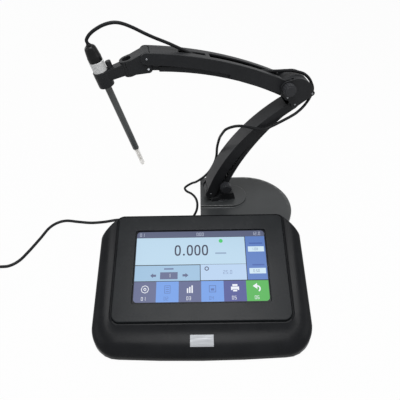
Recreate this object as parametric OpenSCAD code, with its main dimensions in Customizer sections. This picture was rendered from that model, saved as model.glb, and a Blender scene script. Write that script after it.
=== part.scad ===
// Bench pH and conductivity meter, with an electrode on a folding arm behind it.
// Origin: where the arm's swivel axis meets the table. X right, Y away from the user, Z up.
// The arm is drawn in its own upright plane: u along it, z up, with the depth counted from its middle.

/* [Meter housing] */
// width of the housing
meter_w = 242; // [230:1:260]
// depth from the nose to the back
meter_d = 157; // [152:1:165]
// height of the panel's top edge
panel_h = 68.4; // [66:0.2:74]
// height of the walls at the nose
nose_h = 7.5; // [7:0.1:10]
// corner radius at the front
front_r = 31; // [26:1:36]
// corner radius at the back
back_r = 27; // [22:1:27]
// how far the nose bulges forward
front_bow = 2.5; // [1:0.5:5]
// how far the shoulders fall from the panel to the walls
shoulder_drop = 8; // [5:0.5:10]
// wall of the upper housing
meter_wall = 2.5; // [2:0.1:2.8]
// height of the line between the two housings
parting_h = 5.4; // [5:0.1:6]
// height of the rubber feet
foot_h = 1.8; // [1.5:0.1:3]
// gap between the meter's back and the stand
meter_gap = 8.2; // [4:0.2:20]

/* [Display] */
// width of the shoulder on each side of the bezel
side_w = 21.5; // [21.5:0.5:26]
// length of the bezel along the slope
bezel_l = 127; // [122:1:130]
// corner radius at the bezel's front
bezel_r = 9; // [6:1:14]
// corner radius at the bezel's back
bezel_back_r = 6; // [6:0.5:9]
// groove round the bezel
groove = 0.8; // [0.5:0.1:1.2]
// how far the bezel stands proud of the shoulders
bezel_raise = 1.2; // [0.6:0.1:1.8]
// width of the window
window_w = 156; // [140:1:170]
// length of the window along the slope
window_l = 88; // [80:1:92]
// from the bezel's top edge to the window's middle
window_drop = 63; // [60:1:66]

/* [Stand base] */
// radius of the rounded end
base_r = 66.8; // [60:0.4:72]
// middle of the rounded end, to the right of the swivel axis
base_cx = 35.6; // [30:0.4:44]
// middle of the rounded end, in front of the swivel axis
base_front = 16; // [10:1:17]
// from the swivel axis to the straight end
base_left = 31; // [29:0.5:40]
// height of the cover
base_h = 14; // [13:0.5:18]
// width of the sloping rim
rim_w = 9; // [6:0.5:12]
// radius of the raised platform under the arm
platform_r = 23.5; // [20:0.5:28]
// height of the platform above the cover
platform_h = 3.6; // [2:0.2:6]

/* [Arm] */
// turn of the arm away from the meter's back, in degrees
arm_yaw = 10; // [0:1:20]
// depth of the two channels
arm_depth = 24; // [22:0.5:28]
// cheek thickness of the channels
cheek = 2; // [1.6:0.1:2.4]
// pin to pin length of the lower arm
lower_len = 170; // [165:1:200]
// rise of the lower arm in degrees
lower_rise = 51.5; // [50:0.5:54]
// from the foot pin to the foot knob
pivot_gap = 24; // [23:0.5:26]
// pin to pin length of the upper arm
upper_len = 172; // [160:1:190]
// rise of the upper arm in degrees
upper_rise = 17; // [14:0.5:18]
// from the elbow knob to the pin of the upper link
link_gap = 12.5; // [12:0.1:13]
// radius of the knobs
knob_r = 7.8; // [7:0.1:8.5]

/* [Electrode] */
// diameter of the shaft
shaft_d = 8; // [6:0.2:8.4]
// length of the shaft below the clip
shaft_l = 92; // [70:1:94]
// length of the glass tip
tip_l = 28; // [20:1:30]
// length of the cap
cap_l = 17.8; // [14:0.2:24]
// diameter of the spare hole in the holder
spare_d = 10.2; // [8:0.2:12]
// lean of the electrode in degrees
lean = 13.5; // [12:0.5:15]

/* [Fits] */
// side gap between plates that turn on each other
side_gap = 0.4; // [0.3:0.05:0.5]
// radial clearance of a running pin
run_gap = 0.06; // [0.03:0.01:0.1]
// radial clearance of the two open pivots
open_gap = 0.3; // [0.25:0.05:0.4]

/* [Hidden] */
$fn = 48;
charcoal = [0.12, 0.12, 0.13];
panel_grey = [0.2, 0.2, 0.21];
near_black = [0.06, 0.06, 0.07];
steel = [0.7, 0.71, 0.73];
pale_grey = [0.75, 0.75, 0.74];
shaft_grey = [0.45, 0.46, 0.47];
clear = [0.8, 0.88, 0.9];
green = [0.1, 0.35, 0.2];
rubber = [0.08, 0.08, 0.08];

// meter, in its own frame with the nose on the table
meter_x = -31;
meter_y = meter_d + meter_gap + base_r + base_front;
panel_top_y = meter_d - 3.3;
panel_tilt = atan((panel_h - shoulder_drop - nose_h) / panel_top_y);
bezel_w = meter_w - 2 * side_w;
open_w = bezel_w + 2 * groove;
open_y0 = panel_top_y - bezel_l * cos(panel_tilt) - groove;
open_y1 = panel_top_y + groove;
flange = 2;
flange_t = 1.5;
flange_top = -(bezel_raise + meter_wall + 0.3);
bezel_t = -flange_top + flange_t;
window_t = 2.2;
glass_over = 8;
glass_t = 1.5;
lcd_t = 5;
post_y = 20;
post_x = meter_w * 0.29;
side_post_y = meter_d * 0.7;
side_post_x = meter_w / 2 - 11;
post_r = 3.5;
post_h0 = parting_h + 1.2;
screw_r = 1.5;
board_z = parting_h + 7;
board_w = meter_w - 102;
board_l = meter_d - 81;
board_y = meter_d / 2 + 11.5;
board_t = 1.6;
rear_w = 150;
rear_z0 = 14;
rear_z1 = 40;
rear_y = meter_d - meter_wall - 0.5;
socket_x = -rear_w * 0.1;
socket_z = (rear_z0 + rear_z1) / 2;
spare_x = rear_w * 0.07;
jack_x = -rear_w * 0.25;
jack_r = 1.8;
jack_depth = 14;
data_x = rear_w * 0.27;
dc_x = -rear_w * 0.4;
dc_z = socket_z - 3;
switch_x = rear_w * 0.43;

// heights in the base
pad_t = 1.5;
base_wall = 2.2;
rim_z = 9.5;
weight_t = 6;
weight_z = pad_t + weight_t;
platform_z = base_h + platform_h;
platform_cx = 14;
bolt_r = 4;
washer_t = 0.35;
foot_z = platform_z + washer_t + 0.05;
bolt_top = foot_z + 8;

// pivots of the arm, in its plane
arm_half = arm_depth / 2;
arm_in = arm_half - cheek;
link_half = arm_in - side_gap;
plate_in = arm_half + side_gap;
plate_out = plate_in + cheek;
tongue_half = link_half - cheek - side_gap;
function along(l, a) = [l * cos(a), l * sin(a)];
pivot_rise = 31;
foot_low = [-18, foot_z + 15];
foot_high = foot_low + along(pivot_gap, pivot_rise);
elbow_low = foot_low + along(lower_len, lower_rise);
elbow_high = elbow_low + along(pivot_gap, pivot_rise);
elbow_mid = elbow_low + [-2, 10];
knob_at = elbow_low + [-12, 23];
link_at = knob_at + along(link_gap, -85);
wrist_top = knob_at + along(upper_len, 180 - upper_rise);
wrist_low = wrist_top + along(link_gap, -85);
web = 2.2;
pin_r = 3;
rivet_r = 1.2;
link_pin_r = 1.2;
pin_end = 0.5;
lower_sag = 15;
lower_top = 3.7;
lower_flare = 3.3;
lower_web = 1.4;
lower_bottom = 7.5;
lobe_foot = 7.5;
lobe_elbow = 6.5;
link_sag = 13;
link_top = 2.1;
link_bottom = 4.5;
upper_sag = 8;
upper_top = 6.5;
upper_bottom = 7;
lobe_knob = 10.4;
bar_sag = 10;
bar_half = 3;
tongue_lobe = 7.8;

// holder and electrode, in the holder's leaning frame
holder_at = wrist_top + [-22.3, -9.3];
clip_x = -29;
boss_x = 2.5;
boss_r = 8.6;
clip_r = 9;
clip_top = 3;
collar_r = 7.9;
collar_l = 11.5;
cap_r = 9;
cap_bevel = 2.2;
gland_l = 2;
tab_r = 3.2;
cord_r = 1.8;
cap_top = clip_top + collar_l + cap_l;
gland_top = cap_top + gland_l;
function in_holder(p) = [p[0] * cos(lean) - p[1] * sin(lean), p[0] * sin(lean) + p[1] * cos(lean)];
function out_holder(p) = [p[0] * cos(lean) + p[1] * sin(lean), -p[0] * sin(lean) + p[1] * cos(lean)];
wrist_h = out_holder(wrist_top - holder_at);
wrist_lo_h = out_holder(wrist_low - holder_at);

// route of the electrode cable: over the loop, in the upper arm, round the elbow and down
function on_upper(a, n) = knob_at + along(a, 180 - upper_rise) + along(n, 90 - upper_rise);
function lift(p, v) = [p[0], v, p[1]];
gland_at = holder_at + in_holder([clip_x, gland_top + 0.7]);
loop_points = [gland_at, gland_at + in_holder([0, 3]), gland_at + [2.1, 7.2], gland_at + [5.3, 10],
    gland_at + [9.5, 12.7], gland_at + [17.1, 16.2], gland_at + [25.1, 18.2], gland_at + [32.3, 18.3],
    gland_at + [40, 16.1], gland_at + [49.6, 11.3], gland_at + [59.4, 5.4], gland_at + [69.4, -0.1],
    on_upper(150, 17.4), on_upper(136, 14.4), on_upper(120, 11), on_upper(104, 8.6)];
inner_points = [on_upper(86, 9.4), on_upper(66, 8.8), on_upper(46, 7.6)];
elbow_points = [on_upper(30, 9.6), on_upper(20.8, 11.4), on_upper(13, 13.2), on_upper(5, 15.3),
    on_upper(-3, 16.7), elbow_mid + [5.6, 25.9], elbow_mid + [13.6, 22.7], elbow_mid + [20.4, 17.1],
    elbow_mid + [25, 10.9]];
outer_points = [elbow_high + [6.3, 2.4], elbow_high + [6.8, -3.1], elbow_high + [4.3, -8.3],
    elbow_high + [1.2, -13.6], elbow_high + [-3.4, -18.7]];
function low(u, v, z) = [foot_low[0] + u, v, foot_low[1] + z];
front_points = [low(117.6, -1, 122.1), low(111.3, -2.5, 117.9), low(105, -4.5, 113.6),
    low(98.1, -7.5, 109.8), low(89.4, -11.5, 107), low(79.8, -14.7, 104.4), low(69.9, -15.7, 103.2),
    low(58.9, -16, 104.8), low(50, -15.8, 108)];
front_split = 6;
hang_points = [low(41, -15, 110.5), low(30, -14, 111), low(20, -10, 105.5), low(16, -4, 95),
    low(15, 2, 84), low(14, 10, 65), low(14, 16, 47), low(13, 22, 32), low(9.5, 28, 16)];
drop_points = [low(5, 34, 2), low(-2, 40, -11), low(-12, 45.4, -22.6)];
function to_stand(p) = [p[0] * cos(arm_yaw) - p[1] * sin(arm_yaw),
    p[0] * sin(arm_yaw) + p[1] * cos(arm_yaw), p[2]];
plug_y = meter_d + 28 - meter_y;
table_points = [[-43.5, 45, 3.5], [-51, 41, 2], [-55.5, 34.5, 2], [-52.5, 27, 2], [-45, 21, 2],
    [-39, 12, 2], [-36, 0, 2], [-36.5, -14, 2], [-40, -26, 2.4], [-43.5, -37, 7], [-45.4, -45, 15],
    [-46, -52, 22.5], [meter_x + socket_x, plug_y + 5, socket_z - 0.6],
    [meter_x + socket_x, plug_y, socket_z]];
arm_route = concat([for (p = loop_points) lift(p, 0)], [for (p = inner_points) lift(p, 0)],
    [for (p = elbow_points) lift(p, 0)], [for (p = outer_points) lift(p, 0)],
    front_points, hang_points, drop_points);
cable_route = concat([for (p = arm_route) to_stand(p)], table_points);
loop_end = len(loop_points) + 1;
elbow_end = loop_end + 1 + len(elbow_points);
down_end = elbow_end + len(outer_points) + front_split;
hang_end = down_end + len(front_points) - front_split + len(hang_points);

// route of the power cord on the table, and its coil out of sight on the left
power_r = 2;
power_z = 2;
power_y = meter_d + 28 - meter_y;
coil_at = [-346, -100];
coil_r = 30;
coil_pitch = 4.8;
coil_turns = 7.75;
coil_z = 2.9;
coil_steps = 24;
power_route = [[meter_x + dc_x, power_y, dc_z], [meter_x + dc_x - 0.4, power_y + 8, dc_z - 1],
    [-95, -46, 15], [-103, -39, 6], [-117, -35.5, 2.2], [-135, -34, 2], [-153, -34, 2],
    [-171, -37.5, 2], [-190, -39, 2], [-210, -36.5, 2], [-227, -34, 2], [-239.5, -38, 2],
    [-249, -48.5, 2], [-256, -68, 2], [-265, -91, 2], [-273, -107, 2], [-284, -115.5, 2],
    [-299, -117, 2], [-316, -122, 2.2], [-332, -128, 2.6], [-342, coil_at[1] - coil_r, coil_z],
    [coil_at[0], coil_at[1] - coil_r, coil_z]];

// points along a smooth curve through a route, two to each stretch
function mix(p, q, r, s, t) = 0.5 * (2 * q + (r - p) * t + (2 * p - 5 * q + 4 * r - s) * t * t
    + (3 * q - p - 3 * r + s) * t * t * t);
function smooth(r, n) = [for (i = [0 : len(r) - 2]) for (k = [0 : n - 1])
    mix(r[max(i - 1, 0)], r[i], r[i + 1], r[min(i + 2, len(r) - 1)], k / n)];
function aim(r, i) = let (d = r[min(i + 1, len(r) - 1)] - r[max(i - 1, 0)]) d / norm(d);
function some(r, a, b) = [for (i = [a : b]) r[i]];

// rings of points round a curve, square to it
function ring(p, t, r, n, ref) = let (a = cross(t, ref), b = a / norm(a), c = cross(b, t))
    [for (k = [0 : n - 1]) p + r * (b * cos(360 * k / n) + c * sin(360 * k / n))];
function skin(m, n) = [for (i = [0 : m - 2]) for (k = [0 : n - 1])
    each [[i * n + k, (i + 1) * n + k, i * n + (k + 1) % n],
        [i * n + (k + 1) % n, (i + 1) * n + k, (i + 1) * n + (k + 1) % n]]];
module loft(rings) {
    m = len(rings);
    n = len(rings[0]);
    polyhedron([for (g = rings) each g], concat(skin(m, n), [[for (k = [0 : n - 1]) k]],
        [[for (k = [n - 1 : -1 : 0]) (m - 1) * n + k]]));
}
module hoop(rings) {
    n = len(rings[0]);
    m = len(rings);
    function at(i, k) = (i % m) * n + k % n;
    polyhedron([for (g = rings) each g], [for (i = [0 : m - 1]) for (k = [0 : n - 1])
        each [[at(i, k), at(i + 1, k), at(i, k + 1)], [at(i, k + 1), at(i + 1, k), at(i + 1, k + 1)]]]);
}
module tube(route, r, n, ref, a, b) {
    loft([for (i = [a : b]) ring(route[i], aim(route, i), r, n, ref)]);
}

// housing outlines: equal counts of points, from the front middle round by the right
function arc(c, r, a, b, n) = [for (k = [0 : n]) c + along(r, a + (b - a) * k / n)];
// quarter turn, round at 1 and nearer to a straight bevel the closer b is to 2
function blunt(c, r, b, n) = [for (k = [0 : n]) c + r * [pow(cos(90 * k / n), b), pow(sin(90 * k / n), b)]];
function half_line(w, y0, y1, rf, rb, bow, b) = concat([[0, y0], [(w - rf) / 2, y0 + bow / 4]],
    arc([w - rf, y0 + bow + rf], rf, -90, 0, 6), blunt([w - rb, y1 - rb], rb, b, 5));
function outline(w, y0, y1, rf, rb, bow, b) = let (h = half_line(w, y0, y1, rf, rb, bow, b), n = len(h))
    concat(h, [[0, y1]], [for (k = [n - 1 : -1 : 1]) [-h[k][0], h[k][1]]]);
function inset(d) = outline(meter_w / 2 - d, d, meter_d - d, front_r - d, back_r - d, front_bow, 1.5);
opening = outline(open_w / 2, open_y0, open_y1, bezel_r + groove, bezel_back_r + groove, 0, 1);
function panel_z(y) = panel_h - (panel_top_y - y) * tan(panel_tilt);
function wall_z(y) = panel_z(y) - shoulder_drop;
function lip_z(y) = panel_z(y) - bezel_raise;
function flat(line, z) = [for (p = line) [p[0], p[1], z]];
// one ring of the shoulders, from the walls at 0 degrees to the bezel's opening at 90
function shoulder(d, a) = let (w = inset(d)) [for (k = [0 : len(w) - 1])
    let (p = w[k] + (opening[k] - w[k]) * (1 - cos(a)), z0 = wall_z(w[k][1]) - d / 2,
        z1 = lip_z(opening[k][1]) - d) [p[0], p[1], z0 + (z1 - z0) * sin(a)]];
function shoulder_y(y) = let (c = 1 - y / open_y0)
    wall_z(0) + (lip_z(open_y0) - wall_z(0)) * sqrt(1 - c * c);
function shoulder_x(x, y) = let (c = 1 - (meter_w / 2 - x) / (meter_w / 2 - open_w / 2))
    wall_z(y) + (lip_z(y) - wall_z(y)) * sqrt(1 - c * c);

module in_meter() { translate([meter_x, -meter_y, 0]) children(); }
module on_panel() { in_meter() translate([0, panel_top_y, panel_h]) rotate([panel_tilt, 0, 0]) children(); }
module panel_slab(z0, z1) {
    translate([-meter_w, -2 * meter_d, z0]) cube([2 * meter_w, 3 * meter_d, z1 - z0]);
}
module on_rear(x, z) { in_meter() translate([x, rear_y, z]) rotate([-90, 0, 0]) children(); }
module block(w, l, r) {
    translate([-w / 2 + r, -l / 2]) square([w - 2 * r, l]);
    translate([-w / 2, -l / 2 + r]) square([w, l - 2 * r]);
    for (x = [-1, 1]) for (y = [-1, 1]) translate([x * (w / 2 - r), y * (l / 2 - r)]) circle(r);
}
module posts(r, z) {
    for (x = [-1, 1]) {
        translate([x * post_x, post_y, z]) cylinder(r = r, h = shoulder_y(post_y) - 1.5 - z);
        translate([x * side_post_x, side_post_y, z])
            cylinder(r = r, h = shoulder_x(side_post_x - 1, side_post_y) - 1.5 - z);
    }
}

// thick bottom plate of the meter, with a step that locates the upper housing
module lower_housing() {
    color(charcoal) in_meter() difference() {
        union() {
            loft([flat(inset(2.2), foot_h), flat(inset(0.5), foot_h + 0.9), flat(inset(0.4), parting_h),
                flat(inset(meter_wall + 0.3), parting_h), flat(inset(meter_wall + 0.7), parting_h + 1.1)]);
            for (x = [-1, 1]) for (y = [-1, 1])
                translate([x * (board_w / 2 - 9), board_y + y * (board_l / 2 - 8), parting_h])
                    cylinder(r = 3, h = board_z - parting_h);
        }
        foot_places(7.1, 0, foot_h + 0.8);
        screw_places() cylinder(r = 3.4, h = foot_h + 2.2);
        screw_places() cylinder(r = screw_r + 0.2, h = 3 * parting_h);
    }
}
module foot_places(r, z0, z1) {
    for (x = [-1, 1]) for (y = [meter_d * 0.29, meter_d - 20]) translate([x * (meter_w / 2 - 28), y, z0])
        cylinder(r = r, h = z1 - z0);
}
module screw_places() {
    for (x = [-1, 1]) {
        translate([x * post_x, post_y, 0]) children();
        translate([x * side_post_x, side_post_y, 0]) children();
    }
}

// upper housing: a shell with upright walls and quarter round shoulders up to the bezel
module upper_housing() {
    color(charcoal) in_meter() difference() {
        union() {
            hoop(concat([flat(inset(0), parting_h + 0.2)], [for (a = [0 : 15 : 90]) shoulder(0, a)],
                [for (a = [90 : -18 : 0]) shoulder(meter_wall, a)],
                [flat(inset(meter_wall), parting_h + 0.2)]));
            posts(post_r, post_h0);
        }
        translate([0, 0, post_h0 - 1]) screw_places() cylinder(r = screw_r + 0.05, h = 9);
        translate([-rear_w / 2, meter_d - 2 * meter_wall, rear_z0])
            cube([rear_w, 4 * meter_wall, rear_z1 - rear_z0]);
    }
}

// bezel: drops into the opening, with a flange that hooks under the shoulders
module display_bezel() {
    color(panel_grey) difference() {
        union() {
            intersection() {
                in_meter() linear_extrude(2 * panel_h) bezel_shape(0);
                on_panel() panel_slab(-bezel_t, 0);
            }
            intersection() {
                in_meter() linear_extrude(2 * panel_h) intersection() {
                    bezel_shape(groove + flange);
                    translate([-meter_w, 0]) square([2 * meter_w, panel_top_y - 6]);
                }
                on_panel() panel_slab(-bezel_t, flange_top);
            }
        }
        on_panel() translate([0, -window_drop, -window_t - 1]) linear_extrude(window_t + 2)
            block(window_w, window_l, 2);
        on_panel() translate([0, -window_drop, -2 * bezel_t]) linear_extrude(2 * bezel_t - window_t)
            block(window_w + glass_over + 0.4, window_l + glass_over + 0.4, 2);
    }
}
module bezel_shape(e) {
    y0 = open_y0 + groove - e;
    y1 = open_y1 - groove;
    w = bezel_w / 2 + e;
    r = bezel_r + e;
    q = bezel_back_r;
    translate([-w, y0 + r]) square([2 * w, y1 - y0 - r - q]);
    translate([-w + r, y0]) square([2 * (w - r), 2 * r]);
    translate([-w + q, y1 - 2 * q]) square([2 * (w - q), 2 * q]);
    for (x = [-1, 1]) {
        translate([x * (w - r), y0 + r]) circle(r);
        translate([x * (w - q), y1 - q]) circle(q);
    }
}
module touch_glass() {
    color(clear) on_panel() translate([0, -window_drop, -window_t - glass_t]) linear_extrude(glass_t)
        block(window_w + glass_over, window_l + glass_over, 2);
}
module lcd_module() {
    color(steel) on_panel() translate([0, -window_drop, -window_t - glass_t - lcd_t]) linear_extrude(lcd_t)
        block(window_w + glass_over, window_l + glass_over, 2);
}
module main_board() {
    color(green) in_meter() translate([0, board_y, board_z]) {
        linear_extrude(board_t) square([board_w, board_l], center = true);
        translate([-board_w / 4, board_l * 0.06, board_t / 2]) cube([board_w / 6, board_l / 3, 3.2]);
        translate([board_w * 0.07, -board_l / 4, board_t / 2]) cube([board_w / 10, board_l / 4, 3]);
        translate([board_w * 0.28, board_l * 0.13, board_t / 2]) cylinder(r = board_w / 28, h = 8);
    }
}
module rubber_feet() { color(rubber) in_meter() foot_places(7, 0, foot_h + 0.8); }
module housing_screws() {
    color(steel) in_meter() screw_places() {
        translate([0, 0, foot_h + 0.4]) cylinder(r = 3.2, h = 1.8);
        translate([0, 0, foot_h + 1]) cylinder(r = screw_r, h = 9);
    }
}

// rear panel: a plate set into the back wall, which carries the sockets
module rear_panel() {
    color(near_black) difference() {
        in_meter() translate([-rear_w / 2 + 0.2, rear_y, rear_z0 + 0.2])
            cube([rear_w - 0.4, meter_wall, rear_z1 - rear_z0 - 0.4]);
        on_rear(socket_x, socket_z) translate([0, 0, -9]) cylinder(r = 4.9, h = 20);
        on_rear(spare_x, socket_z) translate([0, 0, -9]) cylinder(r = 4.9, h = 20);
        on_rear(jack_x, socket_z) translate([0, 0, -9]) cylinder(r = 4.1, h = 20);
        on_rear(dc_x, dc_z) translate([0, 0, -9]) cylinder(r = 5.1, h = 20);
        on_rear(data_x, socket_z) translate([-8.6, -4.6, -9]) cube([17.2, 9.2, 20]);
        on_rear(switch_x, socket_z) translate([-5.4, -8.4, -9]) cube([10.8, 16.8, 20]);
    }
}
module socket_body(x) {
    on_rear(x, socket_z) difference() {
        union() {
            translate([0, 0, -8]) cylinder(r = 4.8, h = 8 + meter_wall + 10);
            translate([0, 0, meter_wall]) cylinder(r = 7, h = 1.6);
            translate([0, 0, -2.4]) cylinder(r = 7, h = 2.4, $fn = 6);
        }
        translate([0, 0, meter_wall + 2]) cylinder(r = 4, h = 20);
    }
    on_rear(x, socket_z) translate([0, 0, meter_wall]) cylinder(r = 2.2, h = 8);
}
module bnc_socket() { color(steel) socket_body(socket_x); }
module spare_socket() {
    color(steel) {
        socket_body(spare_x);
        on_rear(spare_x, socket_z) for (a = [0, 180]) rotate([0, 0, a])
            translate([4.5, 0, meter_wall + 6]) rotate([0, 90, 0]) cylinder(r = 1, h = 1.4);
    }
}
module temperature_jack() {
    color(near_black) on_rear(jack_x, socket_z) difference() {
        union() {
            translate([0, 0, -jack_depth + 2]) cylinder(r = 4, h = jack_depth + 4);
            translate([0, 0, meter_wall]) cylinder(r = 5.5, h = 1.5);
        }
        translate([0, 0, 6 - jack_depth]) cylinder(r = jack_r, h = jack_depth + 2);
    }
}
module data_port() {
    color(steel) on_rear(data_x, socket_z) {
        translate([-8.4, -4.4, -8]) cube([16.8, 8.8, 8 + meter_wall]);
        translate([0, 0, meter_wall]) linear_extrude(1.2) block(30, 12, 2);
        linear_extrude(meter_wall + 6) polygon([[-8.4, -4.1], [8.4, -4.1], [7, 4.1], [-7, 4.1]]);
        for (x = [-12.2, 12.2]) translate([x, 0, meter_wall]) cylinder(r = 2.6, h = 5, $fn = 6);
    }
}
module power_socket() {
    color(near_black) on_rear(dc_x, dc_z) {
        difference() {
            translate([0, 0, -10]) cylinder(r = 5, h = 10 + meter_wall);
            translate([0, 0, -7]) cylinder(r = 2.9, h = 20);
        }
        translate([0, 0, -8]) cylinder(r = 1, h = 9);
    }
}
module switch_case() {
    color(near_black) on_rear(switch_x, socket_z) {
        difference() {
            translate([-5.2, -8.2, -10]) cube([10.4, 16.4, 10 + meter_wall]);
            translate([-4.2, -7.2, -7]) cube([8.4, 14.4, 20]);
        }
        translate([-4.6, 0, -2]) rotate([0, 90, 0]) cylinder(r = 1, h = 9.2);
    }
}
module power_switch() {
    color(rubber) on_rear(switch_x, socket_z) translate([0, 0, -2]) rotate([-7, 0, 0]) difference() {
        translate([-3.9, 0, 0]) rotate([0, 90, 0]) linear_extrude(7.8)
            polygon([[2.4, -5], [2.4, 5], [-4.6, 6.2], [-3.8, 0], [-4.6, -6.2]]);
        translate([-6, 0, 0]) rotate([0, 90, 0]) cylinder(r = 1 + run_gap, h = 12);
    }
}

// stand base: half round at one end and straight at the other
module d_solid(line, left) {
    n = len(line);
    translate([base_cx, -base_front, 0]) {
        rotate([0, 0, -90]) rotate_extrude(angle = 180, $fn = 72)
            polygon(concat([[0, line[0][1]]], line, [[0, line[n - 1][1]]]));
        rotate([90, 0, -90]) linear_extrude(base_cx + left)
            polygon(concat(line, [for (k = [n - 1 : -1 : 0]) [-line[k][0], line[k][1]]]));
    }
}
module base_posts(r, z0, z1) {
    for (p = [[70, -16], [5, -62], [5, 32]]) translate([p[0], p[1], z0]) cylinder(r = r, h = z1 - z0);
}
module base_pad() {
    r = base_r - base_wall - 1;
    color(rubber) d_solid([[r, 0], [r, pad_t]], base_left - base_wall - 1);
}
module base_weight() {
    r = base_r - base_wall - 0.3;
    color(steel) difference() {
        d_solid([[r, pad_t], [r, weight_z]], base_left - base_wall - 0.3);
        translate([0, 0, -1]) cylinder(r = bolt_r + 0.1, h = 20);
        translate([0, 0, pad_t - 1]) cylinder(r = 7.6, h = 4.2);
        base_posts(1.7, 0, 20);
        base_posts(3.4, pad_t - 1, pad_t + 2.2);
    }
}
module base_cover() {
    r = base_r;
    w = base_wall;
    color(near_black) difference() {
        union() {
            difference() {
                d_solid([[r, pad_t], [r, rim_z], [r - rim_w, base_h]], base_left);
                d_solid([[r - w, 0], [r - w, rim_z - 1.2], [r - rim_w - 1, base_h - w]], base_left - w);
            }
            translate([0, 0, weight_z]) cylinder(r = 12, h = base_h - weight_z);
            base_posts(4, weight_z, base_h - w / 2);
            translate([0, 0, base_h - w / 2]) linear_extrude(platform_h + w / 2) {
                translate([platform_cx, 0]) circle(platform_r);
                translate([-base_left, -platform_r * 0.998])
                    square([base_left + platform_cx, 2 * platform_r * 0.998]);
            }
        }
        translate([0, 0, -1]) cylinder(r = bolt_r + 0.1, h = 40);
        base_posts(1.5, 0, base_h - w);
    }
}
module base_screws() {
    color(steel) {
        base_posts(3.2, pad_t + 0.2, pad_t + 2.2);
        base_posts(1.45, pad_t + 1, base_h - base_wall - 0.5);
    }
}
module swivel_bolt() {
    color(steel) {
        translate([0, 0, pad_t + 0.1]) cylinder(r = 7, h = 3.1, $fn = 6);
        translate([0, 0, pad_t + 1]) cylinder(r = bolt_r, h = bolt_top - pad_t - 1);
    }
}
module swivel_washer() {
    color(steel) translate([0, 0, platform_z]) difference() {
        cylinder(r = 14, h = washer_t);
        translate([0, 0, -1]) cylinder(r = bolt_r + 0.2, h = 3);
    }
}

// drawing in the arm's plane
module in_arm() { rotate([0, 0, arm_yaw]) children(); }
module slab(y0, y1) { translate([0, y1, 0]) rotate([90, 0, 0]) linear_extrude(y1 - y0) children(); }
module twin(y0, y1) {
    slab(y0, y1) children();
    slab(-y1, -y0) children();
}
module disc(p, r) { translate(p) circle(r); }
module rod(p, r, y0, y1) { slab(y0, y1) disc(p, r); }
module bore(p, r) { slab(-2 * arm_depth, 2 * arm_depth) disc(p, r); }
function arc_r(p, q, s) = (pow(norm(q - p) / 2, 2) + s * s) / (2 * s);
function left_of(p, q) = let (d = (q - p) / norm(q - p)) [-d[1], d[0]];
function arc_mid(p, q, s) = (p + q) / 2 - left_of(p, q) * (arc_r(p, q, s) - s);
function bearing(c, p) = atan2(p[1] - c[1], p[0] - c[0]);
// bar bent to an arc from p to q, bulging to the left, its ends cut square e degrees past the pins
module arc_bar(p, q, s, top, bottom, e) {
    c = arc_mid(p, q, s);
    r = arc_r(p, q, s);
    intersection() {
        translate(c) difference() {
            circle(r + top, $fn = 120);
            circle(r - bottom, $fn = 120);
        }
        polygon([c, c + along(2 * r, bearing(c, p) + e), c + 2 * r * left_of(p, q),
            c + along(2 * r, bearing(c, q) - e)]);
    }
}
// straight strap between two discs
module strap(p, q, rp, rq) {
    n = left_of(p, q) * 0.98;
    polygon([p + n * rp, q + n * rq, q - n * rq, p - n * rp]);
    disc(p, rp);
    disc(q, rq);
}

// swivel foot: block on the platform with a tongue that carries the two foot pivots
module swivel_foot() {
    z = foot_z;
    color(near_black) in_arm() difference() {
        union() {
            slab(-arm_half - 0.5, arm_half + 0.5) polygon([[-17, z], [18.5, z], [15.5, z + 12],
                [-4, z + 12], [-8, z + 6.8], [-15.5, z + 6.8]]);
            slab(-tongue_half, tongue_half) {
                strap(foot_low, foot_high, 6.5, tongue_lobe);
                polygon([[-15, z + 5], [14.5, z + 11], foot_high + [6, -4], foot_low + [1, 4]]);
            }
            rod(foot_low, 6, -arm_in + side_gap, arm_in - side_gap);
        }
        bore(foot_low, rivet_r);
        bore(foot_high, pin_r + 0.1);
        translate([0, 0, z - 1]) cylinder(r = bolt_r + run_gap, h = bolt_top - z + 1.4);
    }
}
module foot_pin() {
    color(steel) in_arm() rod(foot_low, rivet_r, -arm_half - pin_end, arm_half + pin_end);
}
module knob_head(p, y) {
    in_arm() slab(y - 8, y) difference() {
        disc(p, knob_r);
        for (a = [0 : 24 : 359]) disc(p + along(knob_r + 0.4, a), 0.9);
    }
    in_arm() rod(p, knob_r - 1.6, y - 8.8, y - 7.5);
}
module foot_knob() {
    color(near_black) {
        knob_head(foot_high, -arm_half - 0.6);
        in_arm() rod(foot_high, 4, -arm_half - 1, -link_half - 0.3);
    }
}
module foot_stud() { color(steel) in_arm() rod(foot_high, pin_r, -link_half - 0.3, arm_half + 6); }
module foot_nut() {
    color(steel) in_arm() difference() {
        union() {
            rod(foot_high, 4.2, link_half + 0.3, arm_half + 1);
            slab(arm_half + 0.5, arm_half + 5) translate(foot_high) circle(5.2, $fn = 6);
        }
        bore(foot_high, pin_r + 0.1);
    }
}

// lower arm: a bent channel, open on its outer side and deeper towards the foot
module lower_bar(d, bottom, e) {
    side = left_of(foot_low, elbow_low);
    p = foot_low + side * (lower_top + lower_flare);
    q = elbow_low + side * lower_top;
    s = lower_sag + lower_flare / 2;
    intersection() {
        arc_bar(foot_low, elbow_low, lower_sag, lower_top + 2 * lower_flare, bottom, e);
        translate(arc_mid(p, q, s)) circle(arc_r(p, q, s) - d, $fn = 120);
    }
}
module lower_arm() {
    color(near_black) in_arm() difference() {
        slab(-arm_half, arm_half) {
            lower_bar(0, lower_bottom, 0);
            disc(foot_low, lobe_foot);
            disc(elbow_low, lobe_elbow);
        }
        slab(-arm_in, arm_in) {
            lower_bar(lower_web, lower_bottom + 2, 4);
            disc(foot_low, lobe_foot + 2.5);
            disc(elbow_low, lobe_elbow + 2.5);
        }
        bore(foot_low, rivet_r + run_gap);
        bore(elbow_low, rivet_r + open_gap);
    }
}
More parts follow.
